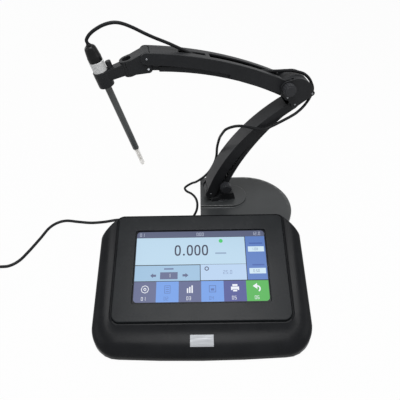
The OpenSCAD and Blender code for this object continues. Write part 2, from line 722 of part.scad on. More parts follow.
// lower link: the second bar of the parallelogram, its channel open towards the arm
module lower_link() {
    color(near_black) in_arm() difference() {
        slab(-link_half, link_half) {
            arc_bar(foot_high, elbow_high, link_sag, link_top, link_bottom, 0);
            disc(foot_high, 6.5);
            disc(elbow_high, 3.6);
        }
        slab(-link_half + cheek, link_half - cheek) {
            arc_bar(foot_high, elbow_high, link_sag, link_top + 4, link_bottom - 1.8, 4);
            disc(foot_high, tongue_lobe + 0.6);
            disc(elbow_high, 5);
        }
        bore(foot_high, pin_r + run_gap);
        bore(elbow_high, rivet_r + run_gap);
    }
}

// elbow bracket: two plates and a roof that keep both parallelograms in step
module elbow_plate() {
    under = pivot_rise - 90;
    intersection() {
        disc(elbow_mid, 24);
        polygon([elbow_high + along(3, under), elbow_low + [30, 80], elbow_low + [-12, 80],
            elbow_low + [-12, 34], elbow_low + [-21, 24], elbow_low + [-19, 13.5], elbow_low + [-14, 8.5],
            elbow_low + [-9.9, 6.5], elbow_low + [-4.4, -1], elbow_low + along(4.8, under)]);
    }
    disc(knob_at, 9.2);
    disc(link_at, 4);
    disc(elbow_low, 5.2);
    disc(elbow_high, 3.4);
}
module elbow_bracket() {
    color(near_black) in_arm() difference() {
        union() {
            twin(plate_in, plate_out) elbow_plate();
            slab(-plate_out, plate_out) intersection() {
                difference() {
                    disc(elbow_mid, 24);
                    disc(elbow_mid, 22.3);
                }
                polygon([elbow_mid, elbow_mid + along(60, 30), elbow_mid + along(60, 98)]);
            }
            slab(-link_half + 0.2, link_half - 0.2) intersection() {
                difference() {
                    disc(elbow_mid, 24);
                    disc(elbow_mid, 22.3);
                }
                polygon([elbow_mid, elbow_mid + along(60, 94), elbow_mid + along(60, 130)]);
            }
        }
        bore(knob_at, pin_r + 0.1);
        bore(link_at, link_pin_r);
        bore(elbow_low, rivet_r);
        bore(elbow_high, rivet_r);
    }
}
module elbow_rivets() {
    color(steel) in_arm() twin(arm_in + 0.1, plate_out + pin_end) disc(elbow_low, rivet_r);
}
module elbow_pin() {
    color(steel) in_arm() rod(elbow_high, rivet_r, -plate_out - pin_end, plate_out + pin_end);
}
module elbow_knob() { color(near_black) knob_head(knob_at, -plate_out - 0.4); }
module elbow_stud() { color(steel) in_arm() rod(knob_at, pin_r, -plate_out - 0.4, plate_out + 6); }
module elbow_nut() {
    color(steel) in_arm() slab(plate_out, plate_out + 5) difference() {
        translate(knob_at) circle(5.6, $fn = 6);
        disc(knob_at, pin_r + 0.1);
    }
}
module upper_link_pin() {
    color(steel) in_arm() rod(link_at, link_pin_r, -plate_out - pin_end, plate_out + pin_end);
}

// upper arm: a channel open below, its web slotted for the cable
module upper_slot(a0, a1, half) {
    slab(-half, half) polygon([on_upper(a0, 2), on_upper(a0, 20), on_upper(a1, 20), on_upper(a1, 2)]);
}
module upper_arm() {
    color(near_black) in_arm() difference() {
        union() {
            slab(-arm_half, arm_half) {
                arc_bar(wrist_top, knob_at, upper_sag, upper_top, upper_bottom, 0);
                disc(knob_at, lobe_knob);
                disc(wrist_top, 6.5);
            }
            slab(-arm_half, arm_half)
                polygon([on_upper(-1, -9.6), on_upper(75, -3), on_upper(75, 5), on_upper(-1, 5)]);
        }
        slab(-arm_in, arm_in) {
            arc_bar(wrist_top, knob_at, upper_sag, upper_top - web, upper_bottom + 12, 4);
            disc(knob_at, lobe_knob + 2.5);
            disc(wrist_top, 7.2);
        }
        upper_slot(-10, 102, 5);
        upper_slot(107, 138, 2.7);
        bore(knob_at, pin_r + run_gap);
        bore(wrist_top, link_pin_r);
    }
}
module upper_link() {
    color(near_black) in_arm() difference() {
        union() {
            slab(-link_half, link_half) {
                arc_bar(wrist_low, link_at, bar_sag, bar_half, bar_half, 0);
                disc(link_at, 4.2);
            }
            slab(-6, 6) disc(wrist_low, 4.2);
        }
        twin(6, 20) disc(wrist_low, 12);
        bore(link_at, link_pin_r + run_gap);
        bore(wrist_low, link_pin_r + open_gap);
    }
}

// electrode holder: one moulding with a clip, a spare hole and a fork on the two wrist pins
module in_holder_frame() {
    in_arm() translate([holder_at[0], 0, holder_at[1]]) rotate([0, -lean, 0]) children();
}
module electrode_holder() {
    color(near_black) in_holder_frame() difference() {
        union() {
            translate([boss_x, 0, -11]) cylinder(r = boss_r, h = 18);
            slab(-6, 6) polygon([[clip_x + 5, -9], [0, -9], [0, 4.5], [clip_x + 5, 2]]);
            translate([clip_x, 0, clip_top - 18]) cylinder(r = clip_r, h = 18);
            translate([clip_x + collar_r + tab_r + 0.4, 0, clip_top - 9]) cylinder(r = tab_r, h = 17);
            slab(-link_half, link_half) {
                strap([6, 1], wrist_h, 5.8, 6.5);
                strap([6, -4], wrist_lo_h, 6, 4.6);
            }
        }
        slab(-6 - side_gap, 6 + side_gap) disc(wrist_lo_h, 5.6);
        slab(-6 - side_gap, 6 + side_gap) polygon([wrist_lo_h + [-3, -5.4], wrist_lo_h + [12, -9],
            wrist_lo_h + [12, 5.4], wrist_lo_h + [0, 5.4]]);
        translate([boss_x, 0, -30]) cylinder(r = spare_d / 2, h = 60);
        translate([clip_x, 0, -30]) cylinder(r = shaft_d / 2 + 0.1, h = 60);
        slab(-20, 20) disc(wrist_h, link_pin_r + run_gap);
        slab(-20, 20) disc(wrist_lo_h, link_pin_r);
    }
}
module wrist_pin() {
    color(steel) in_arm() rod(wrist_top, link_pin_r, -arm_half - pin_end, arm_half + pin_end);
}
module wrist_link_pin() {
    color(steel) in_arm() rod(wrist_low, link_pin_r, -link_half, link_half);
}

// electrode: glass body pushed through the clip until its collar rests on it
module on_axis(z) { in_holder_frame() translate([clip_x, 0, z]) children(); }
module electrode_collar() {
    color(pale_grey) on_axis(clip_top) difference() {
        cylinder(r = collar_r, h = collar_l);
        translate([0, 0, -1]) cylinder(r = shaft_d / 2 + 0.02, h = 5);
    }
}
module electrode_cap() {
    color(near_black) on_axis(clip_top + collar_l)
        rotate_extrude() polygon([[0, 0], [cap_r, 0], [cap_r, cap_l * 0.3],
            [cap_r - 1.4, cap_l - cap_bevel], [cap_r - 3.6, cap_l], [0, cap_l]]);
}
module cable_gland() {
    color(near_black) on_axis(cap_top) cylinder(r1 = 3.2, r2 = 2.3, h = gland_l);
}
module electrode_shaft() {
    color(shaft_grey) on_axis(-shaft_l - 15) difference() {
        cylinder(r = shaft_d / 2, h = shaft_l + 15 + clip_top + 4);
        translate([0, 0, -1]) cylinder(r = 2.6, h = 12);
    }
}
module electrode_tip() {
    color(clear) on_axis(-shaft_l - 15 - tip_l) difference() {
        union() {
            translate([0, 0, 3]) cylinder(r = shaft_d / 2 - 0.4, h = tip_l - 3);
            translate([0, 0, 3.4]) sphere(r = shaft_d / 2 - 0.45);
        }
        translate([0, 0, 4]) cylinder(r = 2.7, h = tip_l);
    }
}
module sensor_element() {
    color(steel) on_axis(-shaft_l - 15 - tip_l + 9) {
        cylinder(r = 1.4, h = tip_l - 7);
        translate([0, 0, tip_l - 12]) cylinder(r = 2.5, h = 12);
    }
}

// electrode cable in stretches, one for each pair of bodies that it joins
cable_path = concat(smooth(cable_route, 2), [cable_route[len(cable_route) - 1]]);
cable_ref = [0.45, -0.8, 0.35];
module stretch(a, b) { color(rubber) tube(cable_path, cord_r, 8, cable_ref, 2 * a, 2 * b); }
module cable_loop() { stretch(0, loop_end); }
module cable_elbow() { stretch(loop_end, elbow_end); }
module cable_down_arm() { stretch(elbow_end, down_end); }
module cable_hanging() { stretch(down_end, hang_end); }
module cable_to_meter() { stretch(hang_end, len(cable_route) - 1); }
module bnc_plug() {
    color(steel) on_rear(socket_x, socket_z) translate([0, 0, 0.5]) difference() {
        union() {
            translate([0, 0, meter_wall + 2]) cylinder(r = 7.2, h = 12);
            translate([0, 0, meter_wall + 13]) cylinder(r = 4.5, h = 6);
            translate([0, 0, meter_wall + 18]) cylinder(r1 = 4, r2 = 2.6, h = 30 - meter_wall - 17.5);
        }
        translate([0, 0, meter_wall]) cylinder(r = 4.95, h = 11);
    }
}

// power plug, cord and its coil
module power_plug() {
    color(rubber) on_rear(dc_x, dc_z) translate([0, 0, 0.5]) {
        translate([0, 0, -6]) difference() {
            cylinder(r = 2.7, h = 12);
            translate([0, 0, -1]) cylinder(r = 1.15, h = 9);
        }
        translate([0, 0, meter_wall]) cylinder(r = 4.8, h = 15);
        translate([0, 0, meter_wall + 14]) cylinder(r1 = 4, r2 = 2.7, h = 30 - meter_wall - 13.5);
    }
}
power_path = concat(smooth(power_route, 1), [power_route[len(power_route) - 1]]);
module power_cord() { color(rubber) tube(power_path, power_r, 8, [0.05, 0.1, 1], 0, len(power_path) - 1); }
function coil_radius(t) = coil_r - coil_pitch * min(t, coil_turns - t);
function coil_height(t) = coil_z + coil_pitch * min(max((t - coil_turns / 2 + 0.25) / 0.5, 0), 1);
function coil_point(t) = [coil_at[0] + coil_radius(t) * cos(-90 - 360 * t),
    coil_at[1] + coil_radius(t) * sin(-90 - 360 * t), coil_height(t)];
lead_end = [coil_at[0] + coil_r, coil_at[1] - 34, coil_z + coil_pitch];
coil_path = concat([for (k = [0 : coil_steps * coil_turns]) coil_point(k / coil_steps)],
    [for (k = [1 : 3]) coil_point(coil_turns) + (lead_end - coil_point(coil_turns)) * k / 3]);
coil_gap = min([for (i = [0 : 2 : len(coil_path) - 1]) for (j = [i + 14 : 2 : len(coil_path) - 1])
    norm(coil_path[i] - coil_path[j])]) - 2 * power_r;
echo(coil_gap = coil_gap);
module power_cord_coil() {
    color(rubber) tube(coil_path, power_r, 6, [0.05, 0.1, 1], 0, len(coil_path) - 1);
}
module cord_tie() {
    r0 = coil_radius(coil_turns / 2) - 3.6;
    h = coil_z + coil_pitch + power_r + 0.4;
    color(near_black) translate([coil_at[0] - coil_r - 3, coil_at[1] - 4, 0.05]) difference() {
        cube([coil_r + 3 - r0, 8, h + 0.9]);
        translate([0.8, -1, 0.8]) cube([coil_r + 1.4 - r0, 10, h - 0.8]);
    }
}
module power_adapter() {
    color(near_black) translate([lead_end[0], lead_end[1], 0]) {
        translate([-19, -76, 0]) cube([38, 62, 25]);
        translate([0, -15, lead_end[2]]) rotate([-90, 0, 0]) cylinder(r1 = 4.8, r2 = 2.8, h = 15);
        for (x = [-9.5, 9.5]) translate([x, -75, 12.5]) rotate([90, 0, 0]) cylinder(r = 2, h = 19);
    }
}

lower_housing();
upper_housing();
display_bezel();
touch_glass();
lcd_module();
main_board();
rubber_feet();
housing_screws();
rear_panel();
bnc_socket();
spare_socket();
temperature_jack();
data_port();
power_socket();
switch_case();
power_switch();
base_pad();
base_weight();
base_cover();
base_screws();
swivel_bolt();
swivel_washer();
swivel_foot();
foot_pin();
foot_knob();
foot_stud();
foot_nut();
lower_arm();
lower_link();
elbow_bracket();
elbow_rivets();
elbow_pin();
elbow_knob();
elbow_stud();
elbow_nut();
upper_link_pin();
upper_arm();
upper_link();
wrist_pin();
wrist_link_pin();
electrode_holder();
electrode_collar();
electrode_cap();
cable_gland();
electrode_shaft();
electrode_tip();
sensor_element();
cable_loop();
cable_elbow();
cable_down_arm();
cable_hanging();
cable_to_meter();
bnc_plug();
power_plug();
power_cord();
power_cord_coil();
cord_tie();
power_adapter();
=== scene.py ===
# Bench pH and conductivity meter with its electrode on a folding arm stand, dressed over the CAD model.
# X runs to the user's right, Y away from the user and Z up, in metres; sizes below are in millimetres.
import bpy
import bmesh
import numpy as np
from mathutils import Matrix, Vector


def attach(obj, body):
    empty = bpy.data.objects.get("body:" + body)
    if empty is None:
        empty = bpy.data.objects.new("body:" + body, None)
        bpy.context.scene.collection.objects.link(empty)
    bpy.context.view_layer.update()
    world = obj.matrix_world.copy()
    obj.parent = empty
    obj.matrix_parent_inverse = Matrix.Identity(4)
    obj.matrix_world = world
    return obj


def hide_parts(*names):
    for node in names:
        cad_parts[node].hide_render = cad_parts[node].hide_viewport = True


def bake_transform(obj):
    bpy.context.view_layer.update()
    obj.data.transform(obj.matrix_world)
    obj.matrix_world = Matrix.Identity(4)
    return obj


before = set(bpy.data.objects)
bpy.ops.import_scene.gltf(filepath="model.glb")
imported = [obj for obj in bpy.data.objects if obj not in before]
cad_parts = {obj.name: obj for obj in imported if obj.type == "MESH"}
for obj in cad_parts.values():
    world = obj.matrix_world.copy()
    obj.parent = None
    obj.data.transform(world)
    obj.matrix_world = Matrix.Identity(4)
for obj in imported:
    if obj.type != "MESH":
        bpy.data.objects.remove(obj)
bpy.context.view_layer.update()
scene = bpy.context.scene

# Upper housing: one injection moulding in charcoal ABS, about 2.5 mm thick, with upright walls and
# wide quarter round shoulders that rise to the opening for the display bezel. Screwed from below.
METER = np.array([-31.0, -248.0, 0.0])
HALF_W, DEEP, PANEL_H, NOSE_H = 121.0, 157.0, 68.4, 7.5
FRONT_R, BACK_R, BOW, WALL = 31, 27, 2.5, 2.5
SHOULDER_H, LIP_DROP, SPLIT_Z = 8, 1.2, 5.6
PANEL_TOP, PANEL_L, BEZEL_GAP = DEEP - 3.3, 127.0, 0.8
TILT = np.arctan((PANEL_H - SHOULDER_H - NOSE_H) / PANEL_TOP)
OPEN_HALF = 100.3
OPEN_FRONT, OPEN_BACK = PANEL_TOP - PANEL_L * np.cos(TILT) - BEZEL_GAP, PANEL_TOP + BEZEL_GAP
SHARP = np.radians(40)


def linear(hex_colour, alpha=1.0):
    """sRGB hex digits to linear light: the low part is a straight line, the rest a power of 2.4."""
    s = np.array([int(hex_colour[i:i + 2], 16) for i in (1, 3, 5)]) / 255
    return (*np.where(s <= 0.04045, s / 12.92, ((s + 0.055) / 1.055) ** 2.4), alpha)


def put(tree, kind, links=None, **settings):
    """Adds one node: settings that name a socket set its value, others set a property, and links join
    an input of this node to an output of another, given as (node, output name)."""
    n = tree.nodes.new("ShaderNode" + kind)
    for k, v in settings.items():
        if k.startswith("in_"):
            n.inputs[int(k[3:])].default_value = v
        elif k in n.inputs:
            n.inputs[k].default_value = v
        else:
            setattr(n, k, v)
    for k, (source, name) in (links or {}).items():
        tree.links.new(n.inputs[k], source.outputs[name])
    return n


def surface(name):
    """An empty material with its node tree and a Principled shader joined to the output."""
    m = bpy.data.materials.new(name)
    m.use_nodes = True
    m.node_tree.nodes.clear()
    t = m.node_tree
    p = put(t, "BsdfPrincipled")
    put(t, "OutputMaterial", {"Surface": (p, "BSDF")})
    return m, t, p


def moulding(name, colour, lighter, roughness, grain_mm, depth_mm, gloss=0.5):
    """Moulded plastic: a spark eroded grain as bump, a faint cloud in the colour where the mould is
    polished by use, and roughness that follows the same cloud."""
    m, t, p = surface(name)
    at = put(t, "TexCoord")
    cloud = put(t, "TexNoise", {"Vector": (at, "Object")}, Scale=28.0, Detail=4.0, Roughness=0.6)
    tint = put(t, "ValToRGB", {"Fac": (cloud, "Fac")})
    tint.color_ramp.elements[0].position, tint.color_ramp.elements[1].position = 0.3, 0.72
    tint.color_ramp.elements[0].color, tint.color_ramp.elements[1].color = linear(colour), linear(lighter)
    rough = put(t, "MapRange", {"Value": (cloud, "Fac")}, in_1=0.3, in_2=0.7, in_3=roughness - 0.05,
                in_4=roughness + 0.06)
    grain = put(t, "TexNoise", {"Vector": (at, "Object")}, Scale=1000.0 / grain_mm / 2, Detail=2.0)
    bump = put(t, "Bump", {"Height": (grain, "Fac")}, Strength=0.5, Distance=depth_mm / 1000)
    t.links.new(p.inputs["Base Color"], tint.outputs["Color"])
    t.links.new(p.inputs["Roughness"], rough.outputs["Result"])
    t.links.new(p.inputs["Normal"], bump.outputs["Normal"])
    p.inputs["Specular IOR Level"].default_value = gloss
    return m


def grid_faces(m, n, close_m, close_n):
    """Quads of an m by n grid of points, closed round either way where asked."""
    i, j = np.meshgrid(np.arange(m if close_m else m - 1), np.arange(n if close_n else n - 1),
                       indexing="ij")
    i2, j2 = (i + 1) % m, (j + 1) % n
    return np.stack([i * n + j, i * n + j2, i2 * n + j2, i2 * n + j], -1).reshape(-1, 4)


def piece(name, points_mm, faces, material, smooth=True):
    """A mesh object at the origin from points in millimetres and lists of faces, with its normals
    made to point outwards."""
    me = bpy.data.meshes.new(name)
    points = (np.asarray(points_mm, float) / 1000).tolist()
    me.from_pydata(points, [], [list(map(int, f)) for f in faces])
    b = bmesh.new()
    b.from_mesh(me)
    bmesh.ops.recalc_face_normals(b, faces=b.faces)
    b.to_mesh(me)
    b.free()
    if smooth:
        me.shade_smooth()
    else:
        me.shade_flat()
    me.materials.append(material)
    o = bpy.data.objects.new(name, me)
    scene.collection.objects.link(o)
    return o


def apply_modifiers(o):
    """Replaces an object's mesh by what its modifiers make of it."""
    bpy.context.view_layer.update()
    made = o.evaluated_get(bpy.context.evaluated_depsgraph_get())
    o.data = bpy.data.meshes.new_from_object(made)
    o.modifiers.clear()


def outline(w, y0, y1, rf, rb, bow, blunt):
    """Closed outline seen from above: a bowed front edge, front corners of radius rf, straight sides,
    back corners of size rb whose cos and sin are raised to a power (1 is round, 2 a straight bevel) and
    a straight back, with the same count of points for any size."""
    f = np.linspace(0, 1, 24)
    front = np.stack([f * (w - rf), y0 + bow * f ** 2], 1)[:-1]
    a = np.linspace(-np.pi / 2, 0, 30)
    corner = np.stack([w - rf + rf * np.cos(a), y0 + bow + rf + rf * np.sin(a)], 1)
    s = np.linspace(0, 1, 14)[1:-1, None]
    side = (1 - s) * np.array([w, y0 + bow + rf]) + s * np.array([w, y1 - rb])
    b = np.linspace(0, np.pi / 2, 24)
    back = np.stack([w - rb + rb * np.abs(np.cos(b)) ** blunt, y1 - rb + rb * np.sin(b) ** blunt], 1)
    e = np.linspace(1, 0, 12)[1:, None]
    rear = e * np.array([w - rb, y1]) + (1 - e) * np.array([0, y1])
    half = np.concatenate([front, corner, side, back, rear])
    return np.concatenate([half, half[-2:0:-1] * [-1, 1]])


def inset(d):
    """The walls' outline, moved inwards by d."""
    return outline(HALF_W - d, d, DEEP - d, FRONT_R - d, BACK_R - d, BOW, 1.5)


def opening(d):
    """Edge of the bezel's opening, moved outwards by d, and less at the back where the wall is near."""
    return outline(OPEN_HALF + d, OPEN_FRONT - d, OPEN_BACK + 0.35 * d, 9.8 + d, 6.8 + 0.7 * d, 0.0, 1.0)


def panel_z(y):
    """Height of the sloping panel plane at depth y."""
    return PANEL_H - (PANEL_TOP - y) * np.tan(TILT)


def shoulder(d, angle, lip=0.0):
    """One ring of the shoulder, from the wall to a line lip outside the opening: its plan position runs
    as 1 - cos and its height as sin."""
    w, o = inset(d), opening(lip)
    xy = w + (o - w) * (1 - np.cos(angle))
    z0, z1 = panel_z(w[:, 1]) - SHOULDER_H - d / 2, panel_z(o[:, 1]) - LIP_DROP - d
    return np.column_stack([xy, z0 + (z1 - z0) * np.sin(angle)])


def ledge(out, down):
    """A ring beside the opening, by how far outwards it lies and how far below the shoulder's lip."""
    o = opening(out)
    return np.column_stack([o, panel_z(o[:, 1]) - LIP_DROP - down])


def level(line, z):
    """A ring at one height over a flat outline."""
    return np.column_stack([line, np.full(len(line), z)])


LIP = 2.1
rings = [level(inset(0.3), SPLIT_Z), level(inset(0.0), 5.9)]
rings += [shoulder(0.0, a, LIP) for a in np.linspace(0, np.pi / 2 * 0.985, 40)]
rings += [ledge(LIP - 0.2, 0.06), ledge(LIP - 0.4, 0.22), ledge(LIP - 0.52, 0.5), ledge(LIP - 0.56, 1.2),
          ledge(LIP - 0.75, 1.35), ledge(0.15, 1.38), ledge(0.0, 1.5)]
rings += [shoulder(WALL, a) for a in np.linspace(np.pi / 2, 0, 14)] + [level(inset(WALL), SPLIT_Z)]
rings = np.array(rings)
# moulded ABS with a fine spark grain: charcoal, matt, with soft broad highlights on the round shoulders
charcoal = moulding("moulded_charcoal_abs", "#17181a", "#1d1e20", 0.27, 0.5, 0.05, 0.058)
upper = piece("upper_housing_shell", rings.reshape(-1, 3) + METER,
              grid_faces(len(rings), rings.shape[1], True, True), charcoal)
BOX_FACES = [(0, 1, 3, 2), (4, 6, 7, 5), (0, 4, 5, 1), (2, 3, 7, 6), (0, 2, 6, 4), (1, 5, 7, 3)]
box = np.array([[x, y, z] for x in (-75, 75) for y in (150, 170) for z in (14, 40)])
cutter = piece("rear_cutter", box + METER, BOX_FACES, charcoal, False)
cut = upper.modifiers.new("rear_opening", "BOOLEAN")
cut.object, cut.operation, cut.solver = cutter, "DIFFERENCE", "EXACT"
apply_modifiers(upper)
bpy.data.objects.remove(cutter)
upper.data.shade_smooth()
upper.data.set_sharp_from_angle(angle=SHARP)
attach(upper, "meter_and_base")
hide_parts("upper_housing")

# Lower housing and its feet: a thick bottom plate in the same charcoal ABS, which shows only as a dark
# line under the walls, on four soft rubber feet pressed into round recesses, with zinc plated screws.


def finish_node(name, material):
    """Gives a CAD node its finish and keeps its shape."""
    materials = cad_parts[name].data.materials
    materials.clear()
    materials.append(material)


def rounded(node, body, material, radius_mm, segments=2):
    """A copy of a CAD node with its sharp edges broken by a small radius, as a mould or a tumbling
    drum leaves them: points merged, flat areas made one face, a bevel on edges over 35 degrees, and
    normals weighted by area so that large faces stay flat to the eye."""
    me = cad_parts[node].data.copy()
    b = bmesh.new()
    b.from_mesh(me)
    bmesh.ops.remove_doubles(b, verts=b.verts, dist=2e-6)
    bmesh.ops.dissolve_limit(b, angle_limit=np.radians(0.6), verts=b.verts, edges=b.edges)
    b.to_mesh(me)
    b.free()
    me.materials.clear()
    me.materials.append(material)
    o = bpy.data.objects.new(node + "_finished", me)
    scene.collection.objects.link(o)
    edge = o.modifiers.new("broken_edge", "BEVEL")
    edge.width, edge.segments, edge.limit_method = radius_mm / 1000, segments, "ANGLE"
    edge.angle_limit, edge.use_clamp_overlap, edge.miter_outer = np.radians(35), False, "MITER_ARC"
    apply_modifiers(o)
    o.data.shade_smooth()
    o.data.set_sharp_from_angle(angle=SHARP)
    flat = o.modifiers.new("flat_faces", "WEIGHTED_NORMAL")
    flat.keep_sharp = True
    apply_modifiers(o)
    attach(o, body)
    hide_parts(node)


def bright_metal(name, colour, roughness, streak_mm):
    """Plated or turned metal: fine streaks vary its roughness, and full metallic colour."""
    m, t, p = surface(name)
    at = put(t, "TexCoord")
    streak = put(t, "TexNoise", {"Vector": (at, "Object")}, Scale=1000.0 / streak_mm, Detail=3.0)
    rough = put(t, "MapRange", {"Value": (streak, "Fac")}, in_1=0.25, in_2=0.75, in_3=roughness * 0.7,
                in_4=roughness * 1.5)
    p.inputs["Base Color"].default_value = linear(colour)
    p.inputs["Metallic"].default_value = 1.0
    t.links.new(p.inputs["Roughness"], rough.outputs["Result"])
    return m


def soft_rubber(name, colour, lighter, roughness, grain_mm):
    """Rubber or soft PVC: matt, with a fine chalky mottle and hardly any shine."""
    return moulding(name, colour, lighter, roughness, grain_mm, 0.03, 0.14)


def clear_glass(name, colour, bending, clearness, gloss):
    """Glass with a smooth face: its tint, how far it bends light, the share of light that it lets
    through, and its shine."""
    m, _, p = surface(name)
    for socket, value in (("Base Color", linear(colour)), ("Roughness", 0.0), ("IOR", bending),
                          ("Transmission Weight", clearness), ("Specular IOR Level", gloss)):
        p.inputs[socket].default_value = value
    return m


# die cut rubber: dull and dark, it takes no highlight
foot_rubber = soft_rubber("foot_rubber", "#161616", "#1e1e1e", 0.8, 0.4)
# zinc plating: a pale, slightly blue metal with soft streaks
zinc = bright_metal("zinc_plated_steel", "#b9bcc0", 0.28, 0.6)
finish_node("lower_housing", charcoal)
finish_node("rubber_feet", foot_rubber)
finish_node("housing_screws", zinc)

# Display bezel: a separate flat frame in a slightly lighter satin ABS, set into the opening with a
# shadow gap all round and hooked under the shoulders; its window has softened edges.
# moulded ABS with a smoother grain: a shade lighter than the shell, and it mirrors light faintly
satin_grey = moulding("satin_grey_abs", "#1e2022", "#242628", 0.25, 0.6, 0.03, 0.065)
rounded("display_bezel", "meter_and_base", satin_grey, 0.8, 3)

# Touch glass and display module: chemically hardened cover glass, bonded to a 7 inch colour display in
# a folded metal tray. Only the glass shows, and the picture seems to lie on its face.
# polished float glass: clear and flat, seen only by a faint mirror of the room
glass = clear_glass("hardened_cover_glass", "#ffffff", 1.5, 1.0, 0.3)
finish_node("touch_glass", glass)
# pressed sheet steel: dull grey, with the faint streaks of the rolling mill
tray = bright_metal("display_tray_steel", "#8d9094", 0.4, 1.0)
finish_node("lcd_module", tray)

# Screen picture: what the display shows, drawn as flat shapes that shine with their own light. Plain
# numbers and common signs only; each shape sits a hair above the one it covers.
SCREEN_W, SCREEN_L, SCREEN_MID = 156.0, 88.0, 63.0
GLASS_FACE, LAYER_STEP = -2.16, 0.02
picture = {"points": [], "faces": [], "inks": []}


def draw(outline_st, hex_colour, layer, hole_st=None):
    """Adds one flat shape: points as shares of the screen from its top left corner, as a polygon, or
    as a band of quads between an outline and a hole of as many points."""
    first = sum(map(len, picture["points"]))
    st = np.asarray(outline_st, float)
    n = len(st)
    if hole_st is None:
        picture["faces"].append(list(range(first, first + n)))
    else:
        st = np.concatenate([st, np.asarray(hole_st, float)])
        picture["faces"] += [[first + k, first + (k + 1) % n, first + n + (k + 1) % n, first + n + k]
                             for k in range(n)]
    x = (st[:, 0] - 0.5) * SCREEN_W
    up = (0.5 - st[:, 1]) * SCREEN_L - SCREEN_MID
    high = GLASS_FACE + LAYER_STEP * layer
    picture["points"].append(np.column_stack([x, PANEL_TOP + up * np.cos(TILT) - high * np.sin(TILT),
                                              PANEL_H + up * np.sin(TILT) + high * np.cos(TILT)]))
    picture["inks"] += [linear(hex_colour)] * len(st)


def pane(s0, s1, t0, t1):
    """The four corners of an upright rectangle."""
    return [(s0, t0), (s0, t1), (s1, t1), (s1, t0)]


def oval(s, t, rx_mm, ry_mm, n=40):
    """Points round an ellipse given in millimetres about a place on the screen."""
    a = np.linspace(0, 2 * np.pi, n, endpoint=False)
    return np.column_stack([s + rx_mm * np.cos(a) / SCREEN_W, t + ry_mm * np.sin(a) / SCREEN_L])


def squircle(s, t, rx_mm, ry_mm, power=2.6, n=48):
    """An oval with fuller shoulders: cos and sin raised to 2 over the power, as on a printed nought."""
    a = np.linspace(0, 2 * np.pi, n, endpoint=False)
    c, d = np.cos(a), np.sin(a)
    return np.column_stack([s + rx_mm * np.sign(c) * np.abs(c) ** (2 / power) / SCREEN_W,
                            t + ry_mm * np.sign(d) * np.abs(d) ** (2 / power) / SCREEN_L])


def shape(s, t, points_mm):
    """A small sign from points in millimetres, right and down from a place on the screen."""
    return np.asarray(points_mm, float) / [SCREEN_W, SCREEN_L] + [s, t]


DIGITS = {"0": "abcdef", "1": "bc", "2": "abged", "3": "abgcd", "4": "fgbc", "5": "afgcd", "6": "afgedc"}


def numerals(text, s, t, high_mm, colour, layer):
    """A plain number in upright strokes, seven to a figure, and a square point."""
    w, k, half = high_mm * 0.52, high_mm * 0.1, high_mm / 2
    bars = {"a": (0, w, 0, k), "g": (0, w, half - k / 2, half + k / 2), "d": (0, w, high_mm - k, high_mm),
            "f": (0, k, 0, half), "e": (0, k, half, high_mm),
            "b": (w - k, w, 0, half), "c": (w - k, w, half, high_mm)}
    x = 0.0
    for figure in text:
        if figure == ".":
            draw(shape(s, t, pane(x, x + 1.3 * k, high_mm - 1.3 * k, high_mm)), colour, layer)
            x += 3.2 * k
            continue
        for bar in DIGITS[figure]:
            x0, x1, y0, y1 = bars[bar]
            draw(shape(s, t, pane(x + x0, x + x1, y0, y1)), colour, layer)
        x += w + 2.2 * k


BLANK, FIGURE, white, dusk = "#0c0d12", "#3d4156", "#f2f5fd", "#5d77b4"
KEY_0, KEY_W = 0.008, 0.164
draw(pane(0, 1, 0, 1), BLANK, 0)
draw(pane(0.008, 0.992, 0.012, 0.098), "#5d647f", 1)
draw(pane(0.008, 0.838, 0.102, 0.488), "#bfdcf0", 1)
draw(pane(0.843, 0.992, 0.098, 0.706), "#5f82c6", 1)
draw(pane(0.008, 0.492, 0.498, 0.708), "#a2c5e2", 1)
draw(pane(0.497, 0.838, 0.492, 0.706), "#bcd6f3", 1)
for k, ink in enumerate(("#676e92", "#77a3ea", "#626a92", "#77a3ea", "#545b9a", "#58b858")):
    draw(pane(KEY_0 + KEY_W * k, KEY_0 + KEY_W * (k + 1), 0.716, 0.985), ink, 1)
# the reading: four tall noughts and a point
for s in (0.345, 0.4375, 0.495, 0.5525):
    draw(squircle(s - 0.02, 0.288, 3.7, 6.7), FIGURE, 2, squircle(s - 0.02, 0.288, 1.9, 4.9))
draw(oval(0.372, 0.349, 1.2, 1.2, 24), FIGURE, 2)
draw(oval(0.655, 0.158, 2.4, 2.4), "#4fce70", 2)
# plain numbers in the head row, and pale rules where a line of small print would stand
for s, text in ((0.03, "01"), (0.47, "000"), (0.9, "12.0")):
    numerals(text, s, 0.032, 4.2, "#c4cce0", 2)
for s, t0, w, ink in ((0.61, 0.335, 13.0, "#93aac6"), (0.225, 0.545, 11.0, "#6f7ea3"),
                      (0.87, 0.2, 16.0, "#4a68b0"), (0.885, 0.505, 14.0, "#4a68b0")):
    draw(shape(s, t0, pane(0, w, -0.9, 0.9)), ink, 2)
# step arrows either side of a dark field, and a ring with a point
for s, way in ((0.145, -1), (0.385, 1)):
    draw(shape(s, 0.635, [(-3.4 * way, -1.3), (-3.4 * way, 1.3), (0, 1.3), (0, 2.7), (3.4 * way, 0),
                          (0, -2.7), (0, -1.3)]), "#626b8c", 2)
draw(pane(0.197, 0.327, 0.59, 0.685), "#666e92", 2)
numerals("1", 0.258, 0.612, 4.2, "#e8eefb", 3)
draw(oval(0.543, 0.548, 2.6, 2.6), "#565c76", 2, oval(0.543, 0.548, 1.5, 1.5))
numerals("25.0", 0.665, 0.575, 4.4, "#8093bb", 2)
for t0, text in ((0.245, "1.00"), (0.55, "0.50")):
    draw(pane(0.86, 0.982, t0, t0 + 0.075), "#d4ebf8", 2)
    numerals(text, 0.889, t0 + 0.02, 3.1, "#7383a6", 3)
